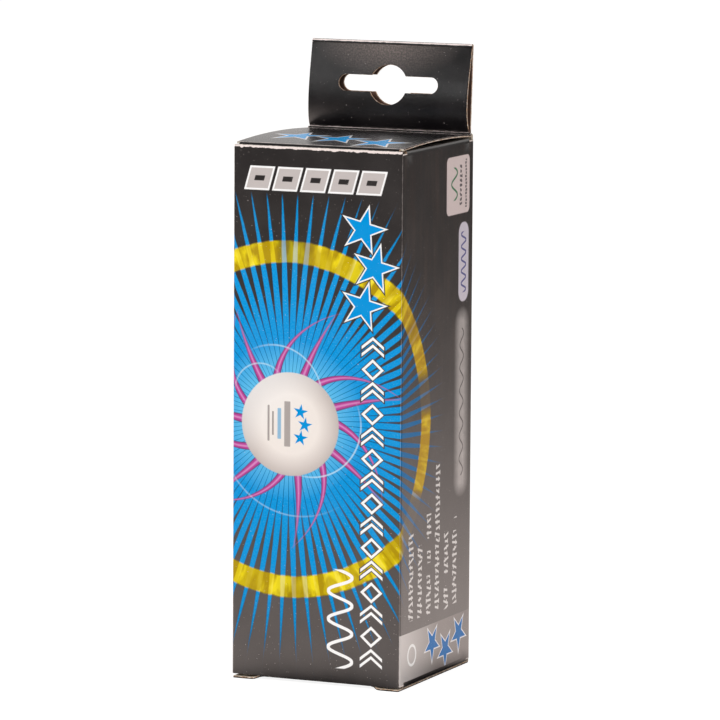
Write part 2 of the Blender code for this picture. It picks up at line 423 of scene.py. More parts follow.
def side_wall(name, side, looks, replaces):
    """The right wall, or the left one for side -1, which runs the other way round the carton."""
    rear = BACK_Y if side > 0 else GLUE_HIGH.y
    left, right = (FRONT_Y, rear) if side > 0 else (-rear, -FRONT_Y)
    notch_left, notch_right = sorted((side * TOP_DUST_LOW.y, side * TOP_DUST_HIGH.y))

    def joint(u, v):
        if SIDE_LOW.z + 0.01 < v < SIDE_HIGH.z - 0.01 and (near(u, left) or near(u, right)):
            return True
        inside = notch_left + 0.01 < u < notch_right - 0.01
        return inside and (near(v, WALL_LOW_JOINT) or near(v, WALL_HIGH_JOINT))

    piece = sheet(
        name,
        stepped_wall(
            left, right, SIDE_LOW.z, SIDE_HIGH.z, notch_left, notch_right, WALL_LOW_JOINT, WALL_HIGH_JOINT
        ),
        wall_surface(left, right, HALF_WIDTH, 90 * side),
        looks,
        lines_u=corner_lines(left, right) + [notch_left, notch_right],
        lines_v=stations(WALL_LOW_JOINT, WALL_HIGH_JOINT) + [WALL_LOW_JOINT, WALL_HIGH_JOINT],
        joint=joint,
        offset=(SIDE_U if side > 0 else -SIDE_U, 0),
    )
    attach(piece, "carton")
    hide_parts(replaces)


BACK_LOW_JOINT = 1.2


def back_wall(looks):
    """Mitred to the right wall; its other side is a cut edge over the glue flap."""
    left, right, foot, top = -HALF_WIDTH, HALF_WIDTH, BACK_LOW_JOINT, PLY_FOOT
    bent = wall_surface(left, right, BACK_Y, 180, bow=0.05)

    def surface(u, v):
        if u > 0:
            return Vector((-u, BACK_Y, v))
        return bent(u, v)

    def joint(u, v):
        if near(u, left) and foot + 0.01 < v < top - 0.01:
            return True
        if near(v, top):
            return abs(u) < PLY_HALF_WIDTH
        return near(v, foot) and abs(u) < BOTTOM_HIGH.x

    piece = sheet(
        "back_wall",
        rectangle(left, foot, right, top),
        surface,
        looks,
        lines_u=[u for u in corner_lines(left, right) if u < right - CORNER - 0.01]
        + [PLY_HALF_WIDTH, -PLY_HALF_WIDTH, BOTTOM_HIGH.x, -BOTTOM_HIGH.x],
        lines_v=stations(foot, top),
        joint=joint,
        offset=(BACK_U, 0),
    )
    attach(piece, "carton")
    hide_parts("back_panel")


def glue_flap(looks):
    """Carries on round the left wall's rear corner, inside the back wall."""
    foot, top, reach = GLUE_LOW.z, GLUE_HIGH.z, GLUE_HIGH.x - GLUE_LOW.x
    start = -HALF_WIDTH
    taper = reach / 2
    outer_y = GLUE_HIGH.y

    def surface(u, v):
        angle = math.pi / 4 * (1 - min(max((u - start) / CORNER, 0), 1))
        flat = max(u, start + CORNER)
        return Vector(
            (flat - CORNER * math.sin(angle), outer_y - CORNER * (1 - math.cos(angle)), v)
        )

    piece = sheet(
        "glue_seam_flap",
        [Vector(p) for p in ((-start, foot), (-start - reach, foot + taper),
                             (-start - reach, top - taper), (-start, top))],
        lambda u, v: surface(-u, v),
        looks,
        lines_u=[-start - CORNER * i / 6 for i in range(1, 7)],
        lines_v=stations(foot, top, 6.0),
        joint=lambda u, v: near(u, -start),
        offset=(BACK_U, 0),
    )
    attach(piece, "carton")
    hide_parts("glue_flap")


# ---------------------------------------------------------------- header


def slot_outline(shift=0.0):
    """The hang slot as one hole: a long slot with round ends, widened by a round eye."""
    reach, half = SLOT_HALF_LENGTH, SLOT_HALF_WIDTH
    drop = EYE_HEIGHT - SLOT_HEIGHT
    outline = []
    for side in (1, -1):
        for step in range(17):
            angle = math.radians(-90 + 180 * step / 16) if side > 0 else math.radians(90 + 180 * step / 16)
            outline.append(
                (shift + side * (reach - half) + half * math.cos(angle), SLOT_HEIGHT + half * math.sin(angle))
            )
        if side > 0:
            begin = math.asin((half - drop) / EYE_RADIUS)
            end = math.pi - begin
        else:
            begin = math.pi + math.asin((half + drop) / EYE_RADIUS)
            end = 2 * math.pi - (begin - math.pi)
        for step in range(25):
            angle = begin + (end - begin) * step / 24
            outline.append(
                (shift + EYE_RADIUS * math.cos(angle), EYE_HEIGHT + EYE_RADIUS * math.sin(angle))
            )
    return [outline]


def header_lines():
    across = stations(-PLY_HALF_WIDTH, PLY_HALF_WIDTH, 2.0)
    return across, stations(0, HEADER_HEIGHT, 1.2)


LEAN_UP = Vector((0, math.sin(HEADER_LEAN), math.cos(HEADER_LEAN)))
LEAN_OUT = Vector((0, math.cos(HEADER_LEAN), -math.sin(HEADER_LEAN)))


def header_back_ply(looks):
    """Carries on from the back wall, and turns over at its top to meet the front ply."""
    height = HEADER_HEIGHT - FOLD_RADIUS - BOARD / 2
    outer = FOLD_RADIUS + BOARD / 2
    at, joints, lines = bend_path((0, 0), 90, height, (outer, 180), TURNED_DOWN)
    foot = Vector((0, BACK_Y, PLY_FOOT))
    length = joints[-1]

    def surface(u, v):
        along = at(v)
        return foot + Vector((-u, 0, 0)) + LEAN_OUT * along.x + LEAN_UP * along.y

    across, up = header_lines()
    piece = sheet(
        "header_rear",
        rectangle(-PLY_HALF_WIDTH, 0, PLY_HALF_WIDTH, length),
        surface,
        looks,
        holes=slot_outline(-REAR_SLOT_SHIFT),
        lines_u=across,
        lines_v=[v for v in up if v < height - 0.3] + [v for v in lines if v >= height],
        joint=lambda u, v: near(v, 0) or near(v, length),
        offset=(BACK_U, PLY_FOOT),
    )
    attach(piece, "carton")
    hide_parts("header_back_ply")


FRONT_FACE_FOOT = Vector((0, PLY_LOW.y, PLY_FOOT))
PLY_START = 0.3


def front_ply_surface():
    """The front ply bows forward between the lid's crease and the top fold, more at the right."""
    height = HEADER_HEIGHT - FOLD_RADIUS - BOARD / 2

    def surface(u, v):
        share = min(max((v - PLY_START) / (height - TURNED_DOWN - PLY_START), 0), 1)
        swell = PLY_BOW_LEFT + (PLY_BOW_RIGHT - PLY_BOW_LEFT) * (u / PLY_HALF_WIDTH + 1) / 2
        bow = swell * math.sin(math.pi * share**BOW_SKEW)
        return FRONT_FACE_FOOT + Vector((u, 0, 0)) + LEAN_UP * v - LEAN_OUT * bow

    return surface, height


def header_front_ply(looks):
    surface, height = front_ply_surface()
    across, up = header_lines()
    top = height - TURNED_DOWN
    piece = sheet(
        "header_front",
        rectangle(-PLY_HALF_WIDTH, PLY_START, PLY_HALF_WIDTH, top),
        surface,
        looks,
        holes=slot_outline(),
        lines_u=across,
        lines_v=[v for v in up if PLY_START < v < top],
        joint=lambda u, v: near(v, PLY_START) or near(v, top),
        offset=(0, PLY_FOOT),
    )
    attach(piece, "carton")
    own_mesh(piece)
    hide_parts("header_front_ply")


# ---------------------------------------------------------------- lid and top flaps

LID_REAR = Vector((0, PLY_LOW.y - LID_VALLEY, LID_HINGE.z - 0.05))
LID_FRONT = Vector((0, LID_LOW.y + 0.3, LID_LOW.z + BOARD))


def lid_height(u, y):
    """Height of the lid's printed side: crowned from front to back, and a little from side to side."""
    share = min(max((LID_REAR.y - y) / (LID_REAR.y - LID_FRONT.y), 0), 1)
    straight = LID_REAR.z + (LID_FRONT.z - LID_REAR.z) * share
    sag = LID_SAG * (u / LID_HALF_WIDTH) ** 2
    return straight + (4 * LID_CROWN - 4 * sag) * share * (1 - share)


def lid_panel(looks):
    """From the front crease to the foot of the header, where it bends up in a valley."""
    flat = LID_REAR.y - LID_FRONT.y
    at, joints, lines = bend_path((0, 0), 0, (LID_VALLEY, 90))

    def surface(u, v):
        if v <= flat:
            y = LID_FRONT.y + v
            return Vector((u, y, lid_height(u, y)))
        along = at(v - flat)
        return Vector((u, LID_REAR.y + along.x, LID_REAR.z + along.y))

    length = flat + joints[-1]
    piece = sheet(
        "lid",
        rectangle(-LID_HALF_WIDTH, 0, LID_HALF_WIDTH, length),
        surface,
        looks,
        lines_u=stations(-LID_HALF_WIDTH, LID_HALF_WIDTH),
        lines_v=stations(0, flat, 2.0) + [flat] + [flat + v for v in lines],
        joint=lambda u, v: (near(v, 0) and abs(u) < LID_TUCK_HIGH.x) or near(v, length),
        offset=(0, LID_FRONT.y),
    )
    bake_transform(piece)
    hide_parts("lid_panel")


def lid_tuck(looks):
    """Rolls over the front crease and hangs down behind the front wall."""
    drop = LID_FRONT.z - LID_TUCK_LOW.z
    at, joints, lines = bend_path(
        (-LID_FRONT.y, LID_FRONT.z), 0, (CREASE + 0.1, -90 - math.degrees(TUCK_LEAN)), drop - CREASE - 0.1
    )
    length = joints[-1]
    half = LID_TUCK_HIGH.x

    def surface(u, v):
        along = at(v)
        return Vector((-u, -along.x, along.y))

    piece = sheet(
        "lid_tuck",
        rounded([(-half, 0, 0), (half, 0, 0), (half, length, TUCK_CORNER), (-half, length, TUCK_CORNER)]),
        surface,
        looks,
        lines_u=stations(-half, half),
        lines_v=lines,
        joint=lambda u, v: near(v, 0),
        offset=(0, LID_FRONT.y),
    )
    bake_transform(piece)
    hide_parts("lid_tuck_flap")


def dust_flap(level, side, looks):
    """Bends in from a side wall's top, or from its foot, on a crease with a notch at each end."""
    word = "right" if side > 0 else "left"
    if level == "top":
        low, high = TOP_DUST_LOW, TOP_DUST_HIGH
        start, crease_z, up = WALL_HIGH_JOINT, high.z, 1
    else:
        low, high = BOTTOM_DUST_LOW, BOTTOM_DUST_HIGH
        start, crease_z, up = WALL_LOW_JOINT, low.z, -1
    rise = up * (crease_z - start) - CREASE
    at, joints, lines = bend_path((0, 0), 90, rise, (CREASE, -90), DUST_REACH - CREASE)
    length = joints[-1]
    bend = joints[1]

    def surface(u, v):
        along = at(v)
        return Vector((side * (HALF_WIDTH - along.x), side * up * u, start + up * along.y))

    front, rear = low.y, high.y
    corners = [
        (rear, 0, 0),
        (rear, bend + DUST_TAPER_START, 0),
        (DUST_TIP_REAR, length, DUST_CORNER),
        (DUST_TIP_FRONT, length, DUST_CORNER),
        (front, bend, 0),
        (front, 0, 0),
    ]
    outline = rounded([(side * up * y, along, radius) for y, along, radius in corners])
    piece = sheet(
        f"{level}_{word}_dust",
        outline,
        surface,
        looks,
        lines_v=lines,
        lines_u=stations(-18, 18),
        joint=lambda u, v: near(v, 0),
        offset=(0, start if up > 0 else -40),
    )
    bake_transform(piece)
    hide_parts(f"{level}_{word}_dust_flap")


# ---------------------------------------------------------------- bottom closure

BOTTOM_CREASE = 0.5
NECK_Y = LID_LOW.y
NECK_LIFT = 0.7
NECK_RAMP = 6.5
LIFT_EDGE = 13.2
LIFT_FADE = 2.8
BASE_FOOT = -80.0
BASE_MIDDLE = BASE_FOOT + 22.4


def smooth(share):
    """0 below 0 and 1 above 1, with a soft start and end in between."""
    share = min(max(share, 0.0), 1.0)
    return share * share * (3 - 2 * share)


def neck_lift(u, y):
    """Height by which the board is pulled up towards the tuck's neck, between the shoulders."""
    inward = 1 - smooth((abs(u) - LIFT_EDGE) / LIFT_FADE)
    return NECK_LIFT * inward * smooth((NECK_Y + NECK_RAMP - y) / NECK_RAMP)


def bottom_panel(looks):
    """Bends forward from the back wall's foot; its shoulders show under the front wall's corners."""
    at, joints, lines = bend_path(
        (0, 0), -90, BACK_LOW_JOINT - BOTTOM_CREASE, (BOTTOM_CREASE, -90), BACK_Y - BOTTOM_CREASE - NECK_Y
    )
    half = BOTTOM_HIGH.x
    neck = joints[-1]
    shoulder = neck + NECK_Y - BOTTOM_LOW.y

    def surface(u, v):
        along = at(v)
        y = BACK_Y + along.x
        return Vector((u, y, BACK_LOW_JOINT + along.y + neck_lift(u, y)))

    right = [(half, 0, 0), (half, shoulder, 0.3), (SHOULDER_INNER, shoulder, 0.3), (NECK_HALF_WIDTH, neck, 0)]
    left = [(-x, v, radius) for x, v, radius in reversed(right)]
    piece = sheet(
        "bottom",
        rounded(right + left, 3),
        surface,
        looks,
        lines_u=stations(-half, half) + [side * (LIFT_EDGE + step) for side in (1, -1) for step in (0, 1, 2, 3)],
        lines_v=lines + stations(neck - NECK_RAMP, neck, 0.8),
        joint=lambda u, v: near(v, 0) or (near(v, neck) and abs(u) < NECK_HALF_WIDTH - 0.01),
        offset=(0, BASE_FOOT),
    )
    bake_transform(piece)
    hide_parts("bottom_panel")


def bottom_tuck(looks):
    """A narrow neck bends up behind the front wall and widens into the flap."""
    radius = -BOTTOM_TUCK_LOW.y + NECK_Y
    at, joints, lines = bend_path(
        (NECK_Y, 0), 180, (radius, -90 - math.degrees(TUCK_LEAN)), BOTTOM_TUCK_HIGH.z - radius
    )
    length = joints[-1]
    half = BOTTOM_TUCK_HIGH.x
    widen = joints[1] + NECK_TOP - radius

    def surface(u, v):
        along = at(v)
        return Vector((u, along.x, along.y + neck_lift(u, NECK_Y) * (1 - smooth(v / 3.0))))

    right = [
        (NECK_HALF_WIDTH, 0, 0),
        (NECK_HALF_WIDTH, widen, 0),
        (half, widen, 0.5),
        (half, length, TUCK_CORNER),
    ]
    left = [(-x, v, corner) for x, v, corner in reversed(right)]
    piece = sheet(
        "bottom_tuck",
        rounded(right + left),
        surface,
        looks,
        lines_u=stations(-half, half) + [LIFT_EDGE, -LIFT_EDGE],
        lines_v=lines,
        joint=lambda u, v: near(v, 0),
        offset=(0, -120),
    )
    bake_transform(piece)
    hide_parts("bottom_tuck_flap")


# ---------------------------------------------------------------- balls

BALL_WALL = 0.5
BALL_SEAM = 0.04
BALL_SEGMENTS = 72
BALL_RINGS = 20
SEAM_LIP = 0.05


def half_profile(radius):
    """The closed outline of one half shell, from its outer pole round its seam to its inner pole."""
    outer, inner = [], []
    for step in range(BALL_RINGS + 1):
        angle = math.pi / 2 * (1 - step / BALL_RINGS)
        swell = SEAM_LIP * math.exp(-((radius * angle / 0.5) ** 2))
        for line, size in ((outer, radius + swell), (inner, radius - BALL_WALL - 3 * swell)):
            line.append((size * math.cos(angle), max(size * math.sin(angle), BALL_SEAM / 2)))
    return outer + inner[::-1]


def half_ball(ball, half, looks):
    centre = joint_point(f"{ball}_spin")
    node = f"{ball}_half_{half}"
    points = [v.co for v in frame["nodes"][node].data.vertices]
    middle = sum(points, Vector()) / len(points) / MM
    pole = (middle - centre).normalized()
    low, high = node_box(node)
    radius = max((v / MM - centre).length for v in points)
    bm = bmesh.new()
    line = [bm.verts.new((x, 0, z)) for x, z in half_profile(radius)]
    for a, b in zip(line, line[1:]):
        bm.edges.new((a, b))
    bmesh.ops.spin(
        bm, geom=bm.verts[:] + bm.edges[:], cent=(0, 0, 0), axis=(0, 0, 1),
        angle=2 * math.pi, steps=BALL_SEGMENTS, use_merge=True,
    )
    bmesh.ops.remove_doubles(bm, verts=bm.verts, dist=0.002)
    bmesh.ops.recalc_face_normals(bm, faces=bm.faces)
    place = bm.verts.layers.float_vector.new("sheet")
    turn = pole.to_track_quat("Z", "Y").to_matrix()
    for v in bm.verts:
        v[place] = v.co * (1 if half == "a" else -1)
        v.co = (centre + turn @ v.co) * MM
    mesh = bpy.data.meshes.new(node)
    bm.to_mesh(mesh)
    bm.free()
    mesh.shade_smooth()
    mesh.set_sharp_from_angle(angle=math.radians(40))
    mesh.materials.append(looks)
    piece = bpy.data.objects.new(f"{ball}_shell_{half}", mesh)
    bpy.context.scene.collection.objects.link(piece)
    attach(piece, ball)
    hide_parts(node)


# ---------------------------------------------------------------- shader arithmetic


class Value:
    """A number in a material's nodes: arithmetic on it adds Math nodes to the same tree."""

    def __init__(self, socket):
        self.socket = socket
        self.tree = socket.id_data

    def math(self, operation, *others, clamp=False):
        node = self.tree.nodes.new("ShaderNodeMath")
        node.operation = operation
        node.use_clamp = clamp
        for slot, item in zip(node.inputs, (self, *others)):
            feed(slot, item)
        return Value(node.outputs[0])

    def __add__(self, other):
        return self.math("ADD", other)

    def __sub__(self, other):
        return self.math("SUBTRACT", other)

    def __mul__(self, other):
        return self.math("MULTIPLY", other)

    def __truediv__(self, other):
        return self.math("DIVIDE", other)

    def __rsub__(self, other):
        return self.math("MULTIPLY_ADD", -1.0, other)

    def __abs__(self):
        return self.math("ABSOLUTE")

    def __pow__(self, power):
        return self.math("POWER", power)

    __radd__ = __add__
    __rmul__ = __mul__

    def least(self, other):
        return self.math("MINIMUM", other)

    def most(self, other):
        return self.math("MAXIMUM", other)

    def ramp(self, low, high):
        """0 at low and 1 at high, straight in between and level outside; low may be above high."""
        node = self.tree.nodes.new("ShaderNodeMapRange")
        feed(node.inputs["Value"], self)
        feed(node.inputs["From Min"], low)
        feed(node.inputs["From Max"], high)
        return Value(node.outputs["Result"])

    def below(self, limit, soft=0.08):
        """1 where this is under the limit, with an edge of the given softness."""
        return (self - limit).ramp(soft / 2, -soft / 2)


def feed(slot, item):
    """Links a Value or a socket to a node's input, or sets the input to a plain number or colour."""
    if isinstance(item, Value):
        item = item.socket
    if isinstance(item, bpy.types.NodeSocket):
        slot.id_data.links.new(item, slot)
    elif isinstance(item, tuple) and len(slot.default_value) == len(item) + 1:
        slot.default_value = (*item, 1)
    else:
        slot.default_value = item


def srgb(red, green, blue):
    """A colour given the usual way, 0 to 255, as the linear numbers that shaders use."""
    return tuple(((c / 255 + 0.055) / 1.055) ** 2.4 if c > 10 else c / 255 / 12.92 for c in (red, green, blue))


def mixed(tree, share, first, second, blend="MIX"):
    """The first colour where share is 0, the second where it is 1."""
    node = tree.nodes.new("ShaderNodeMix")
    node.data_type = "RGBA"
    node.blend_type = blend
    feed(node.inputs[0], share)
    feed(node.inputs[6], first)
    feed(node.inputs[7], second)
    return node.outputs[2]


class Artwork:
    """One material, drawn in the unfolded millimetres of the sheets that wear it."""

    def __init__(self, name):
        self.material = bpy.data.materials.new(name)
        self.material.use_nodes = True
        self.tree = self.material.node_tree
        self.shader = self.tree.nodes["Principled BSDF"]
        attribute = self.tree.nodes.new("ShaderNodeAttribute")
        attribute.attribute_name = "sheet"
        split = self.tree.nodes.new("ShaderNodeSeparateXYZ")
        self.place = attribute.outputs["Vector"]
        self.tree.links.new(self.place, split.inputs[0])
        self.u, self.v, self.depth = (Value(socket) for socket in split.outputs)

    def noise(self, scale, detail=2.0, roughness=0.5, stretch=None, shift=0.0):
        """Smooth noise, about 0.5 on average, with scale features to the millimetre."""
        place = self.place
        if stretch or shift:
            node = self.tree.nodes.new("ShaderNodeMapping")
            node.inputs["Scale"].default_value = stretch or (1, 1, 1)
            node.inputs["Location"].default_value = (shift, shift, shift)
            self.tree.links.new(place, node.inputs["Vector"])
            place = node.outputs[0]
        node = self.tree.nodes.new("ShaderNodeTexNoise")
        node.inputs["Scale"].default_value = scale
        node.inputs["Detail"].default_value = detail
        node.inputs["Roughness"].default_value = roughness
        self.tree.links.new(place, node.inputs["Vector"])
        return Value(node.outputs[0])

    def noise_at(self, x, y, scale, detail):
        """Noise over two worked-out numbers instead of the sheet's own place."""
        place = self.tree.nodes.new("ShaderNodeCombineXYZ")
        feed(place.inputs[0], x)
        feed(place.inputs[1], y)
        node = self.tree.nodes.new("ShaderNodeTexNoise")
        node.inputs["Scale"].default_value = scale
        node.inputs["Detail"].default_value = detail
        self.tree.links.new(place.outputs[0], node.inputs["Vector"])
        return Value(node.outputs[0])

    def mix(self, share, first, second, blend="MIX"):
        return mixed(self.tree, share, first, second, blend)

    def choose(self, share, first, second):
        """A number that goes from the first to the second with share."""
        return first + share * (second - first)

    def polar(self, centre):
        """Distance from a centre, and the angle round it in degrees."""
        across, up = self.u - centre[0], self.v - centre[1]
        radius = (across * across + up * up).math("SQRT")
        angle = up.math("ARCTAN2", across) * math.degrees(1)
        return radius, angle

    def box(self, left, foot, right, top, corner=0.0):
        """Distance to a rectangle with round corners: below 0 inside it."""
        middle = ((left + right) / 2, (foot + top) / 2)
        across = abs(self.u - middle[0]) - ((right - left) / 2 - corner)
        up = abs(self.v - middle[1]) - ((top - foot) / 2 - corner)
        across_out, up_out = across.most(0.0), up.most(0.0)
        outside = (across_out * across_out + up_out * up_out).math("SQRT")
        return outside + across.most(up).least(0.0) - corner

    def star(self, centre, size, point_at):
        """Distance to a five-pointed star's edge: below 0 inside it. One tip points at the angle."""
        radius, angle = self.polar(centre)
        folded = (angle - point_at).math("PINGPONG", 36.0)
        turned = ((folded - 72.0) * math.radians(1)).math("COSINE")
        return radius * turned - size * math.cos(math.radians(72))


# ---------------------------------------------------------------- printed artwork, in unfolded mm

INK_BLACK = srgb(15, 13, 15)
INK_BLUE = srgb(0, 148, 220)
INK_PALE_BLUE = srgb(96, 190, 236)
INK_DEEP_BLUE = srgb(0, 116, 176)
# Painted shade: the rays' blue drawn darker on the right wall, which is lit less than the front.
SIDE_WALL_SHADED_BLUE = srgb(0, 104, 164)
INK_YELLOW = srgb(246, 224, 30)
INK_PALE_YELLOW = srgb(255, 240, 110)
INK_MUSTARD = srgb(178, 148, 16)
INK_MAGENTA = srgb(186, 70, 150)
INK_PLUM = srgb(96, 32, 92)
INK_PINK = srgb(222, 150, 206)
INK_WHITE = srgb(250, 250, 250)
INK_SILVER = srgb(196, 188, 186)
BALL_WHITE = srgb(240, 232, 226)
BALL_SHADE = srgb(176, 164, 160)
CORE_TAN = srgb(196, 160, 128)
CORE_WHITE = srgb(238, 228, 218)
WORN_WHITE = srgb(240, 228, 224)
RAW_GREY = srgb(206, 198, 184)

VARNISH_IOR = 1.72

BURST_CENTRE = (-6.8, 61.9)
RAY_SPACING = 360 / 86
RAY_REACH = 57.5
RAY_FULLNESS = 1.6
RAY_FULLEST = 0.93
RING_OUTER = (44.8, 41.8)
RING_POWER = 1.85
RING_INNER = 0.879
DISC_CENTRE = (-6.5, 60.9)
DISC_RADIUS = 12.1
SPIKES = 7
SPIKE_LENGTH = 17.5
SPIKE_SETS = ((74, 8), (106, 42))
HALOS = (
    (5.0, 0.5, 12.6, -45, 0.75),
    (-4.0, 6.3, 12.0, 50, 0.6),
    (-7.4, 7.4, 6.4, 110, 0.6),
    (2.0, -2.0, 19.5, -130, 0.35),
)
SIDE_ART_END = HALF_WIDTH + 26.5
RING_GAPS = ((31.0, 45.0), (63.5, 72.5))

TITLE_BOX = (-17.5, 115.1, 16.5, 120.7)
TITLE_LAYERS = ((0.0, 0.0, INK_WHITE), (0.45, 0.45, INK_SILVER), (1.9, 2.2, INK_BLACK))
STAR_SIZE = 5.1
STAR_BORDER = 0.32
FRONT_STARS = ((11.4, 107.05), (14.3, 98.35), (11.45, 89.35))


def sunburst(art):
    """Rays and a ring about one centre, which carry on from the front wall to the right one."""
    radius, angle = art.polar(BURST_CENTRE)
    wobble = art.noise(0.25, 1.0) - 0.5
    wave = (angle / RAY_SPACING + wobble * 0.04).math("PINGPONG", 0.5) * 2
    fullness = ((1.0 - radius / RAY_REACH).most(0.0) ** 1.15 * RAY_FULLNESS).least(RAY_FULLEST)
    on_panel = abs(art.u).ramp(SIDE_ART_END + 1.5, SIDE_ART_END - 3)
    side = art.u.ramp(HALF_WIDTH - 0.1, HALF_WIDTH + 0.1)
    faint = 1.0 - side * radius.ramp(40.0, 45.0) * 0.35
    ray = (wave - fullness + side * 0.08).ramp(0.01, -0.12) * on_panel * faint
    grain = art.noise(2.2, 3.0, 0.7)
    blue = art.mix(radius.ramp(12.0, 19.0), INK_PALE_BLUE, INK_BLUE)
    blue = art.mix(radius.ramp(34.0, 56.0) * 0.6, blue, INK_DEEP_BLUE)
    blue = art.mix(grain.ramp(0.40, 0.72) * 0.22, blue, INK_PALE_BLUE)
    # Painted shade: darker blue on the right wall.
    blue = art.mix(side * 0.8, blue, SIDE_WALL_SHADED_BLUE)
    gap = art.mix(radius.ramp(28.0, 15.0), INK_BLACK, INK_DEEP_BLUE)
    colour = art.mix(ray, gap, blue)
    return ring(art, colour, ray, angle)


def ring(art, colour, ray, angle):
    """A see-through yellow ring, bright over the rays and golden between them, in uneven sectors."""
    across = abs(art.u - BURST_CENTRE[0]) / RING_OUTER[0]
    up = abs(art.v - BURST_CENTRE[1]) / RING_OUTER[1]
    reach = (across ** RING_POWER + up ** RING_POWER) ** (1 / RING_POWER)
    reach = reach + (art.noise(0.5, 2.0) - 0.5) * 0.012
    band = reach.ramp(1.004, 0.994) * reach.ramp(RING_INNER - 0.005, RING_INNER + 0.005)
    crumple = art.noise_at(angle * 0.22, reach * 5.0, 1.0, 3.0)
    sector = art.noise_at(angle * 0.05, 7.0, 1.0, 2.0)
    facet = art.noise_at(angle * 0.09, reach * 2.0, 1.0, 1.0)
    gold = art.mix(crumple.ramp(0.44, 0.60), INK_MUSTARD, INK_YELLOW)
    lit = art.mix(crumple.ramp(0.45, 0.75), INK_YELLOW, INK_PALE_YELLOW)
    yellow = art.mix(ray * 0.6, gold, lit)
    yellow = art.mix(facet.ramp(0.50, 0.46) * 0.6, yellow, INK_MUSTARD)
    strength = sector.ramp(0.34, 0.46) * 0.7 + 0.3
    past_front_corner = art.u.ramp(HALF_WIDTH, HALF_WIDTH + 2)
    # Painted shade: the ring's yellow drawn deeper and more orange on the right wall.
    yellow = art.mix(past_front_corner * 0.4, yellow, srgb(224, 160, 30))
    for low, high in RING_GAPS:
        gap = art.v.ramp(low - 1.5, low + 1.5) * art.v.ramp(high + 1.5, high - 1.5)
        strength = strength * (1.0 - gap * past_front_corner * 0.9)
    on_panel = abs(art.u).ramp(SIDE_ART_END + 1, SIDE_ART_END - 1)
    return art.mix(band * strength * on_panel, colour, yellow)


def spikes(art, colour):
    """Two sets of curved spikes round the disc, dark-edged, with a light line down each one."""
    radius, angle = art.polar(DISC_CENTRE)
    out = (radius - DISC_RADIUS) / SPIKE_LENGTH
    left = (1.0 - out).most(0.0)
    width = left ** 2.4 * 0.16 + left * 0.03
    spacing = 360 / SPIKES
    for start, curl in SPIKE_SETS:
        off = ((angle + out * curl - start) / spacing).math("PINGPONG", 0.5) * 2
        inside = (off - width).ramp(0.02, -0.02) * out.ramp(-0.1, 0.02) * left.ramp(0.0, 0.1)
        body = art.mix((off - width * 0.75).ramp(0.02, -0.02), INK_PLUM, INK_MAGENTA)
        body = art.mix((off - width * 0.25).ramp(0.02, -0.02) * 0.7, body, INK_PINK)
        colour = art.mix(inside, colour, body)
    return colour


def halo(art, colour):
    """Thin light arcs that swirl about the disc: each is part of a circle beside the disc's centre."""
    for across, up, size, middle, strength in HALOS:
        radius, angle = art.polar((DISC_CENTRE[0] + across, DISC_CENTRE[1] + up))
        opening = ((angle - middle) * math.radians(1)).math("COSINE").ramp(0.3, 0.85)
        line = abs(radius - size).ramp(0.3, 0.02) * opening
        colour = art.mix(line * strength, colour, srgb(200, 232, 248))
    return colour


def stars(art, colour, centres, size, border, point_at, fill=INK_BLUE, outline=INK_WHITE, rim=0.25):
    """Blue stars with a light outline. Nearest star only, so the middles stay well apart."""
    distance = None
    for centre in centres:
        here = art.star(centre, size, point_at)
        distance = here if distance is None else distance.least(here)
    if rim:
        colour = art.mix(distance.below(border + rim, 0.1), colour, INK_BLACK)
    colour = art.mix(distance.below(border), colour, outline)
    return art.mix(distance.below(0.0), colour, fill)


def bars(art, colour, box, count, gap, slant, inset, ink):
    """A row of equal slanted bars that fill a box, in the place of a line of lettering."""
    left, foot, right, top = box
    pitch = (right - left + gap) / count
    middle = (foot + top) / 2
    along = art.u - (art.v - middle) * slant - left
    off = abs((along / pitch).math("FRACT") * pitch - (pitch - gap) / 2)
    beside = off - ((pitch - gap) / 2 - inset[0])
    above = abs(art.v - middle) - ((top - foot) / 2 - inset[1])
    beyond = abs(along - (right - left) / 2) - (right - left) / 2
    return art.mix(beside.most(above).most(beyond).below(0.0), colour, ink)


def title(art, colour):
    """Five slanted blocks: light outline, silver inside, a small dark slot in each."""
    for inset_across, inset_up, ink in TITLE_LAYERS:
        colour = bars(art, colour, TITLE_BOX, 5, 0.7, 0.28, (inset_across, inset_up), ink)
    return colour


def chance(value, seed):
    """A random number from 0 to 1 for each whole value."""
    return ((value * 12.9898 + seed * 7.31).math("SINE") * 43758.5).math("FRACT")


def dashes(art, colour, middle, foot, top, height, pitch, ink, seed):
    """Small plain ticks in uneven groups up a column, in the place of a line of small lettering."""
    count = art.v / pitch + seed
    cell = count.math("FLOOR")
    along = (count.math("FRACT") - 0.5) * pitch
    across = art.u - middle
    lean = (chance(cell, seed) - 0.5) * 0.9
    tall = height / 2 - chance(cell, seed + 1.0) * height * 0.22
    tick = (abs(along - across * lean) - 0.28).most(abs(across) - tall)
    level = (chance(cell, seed + 2.0) - 0.5) * height * 0.9
    bar = (abs(across - level) - 0.22).most(abs(along) - pitch * 0.36)
    group = chance((art.v / (pitch * 2.0) + seed).math("FLOOR"), seed + 3.0).ramp(0.13, 0.14)
    span = art.v.ramp(foot - 0.1, foot + 0.1) * art.v.ramp(top + 0.1, top - 0.1)
    return art.mix(tick.least(bar).below(0.0, 0.14) * group * span, colour, ink)


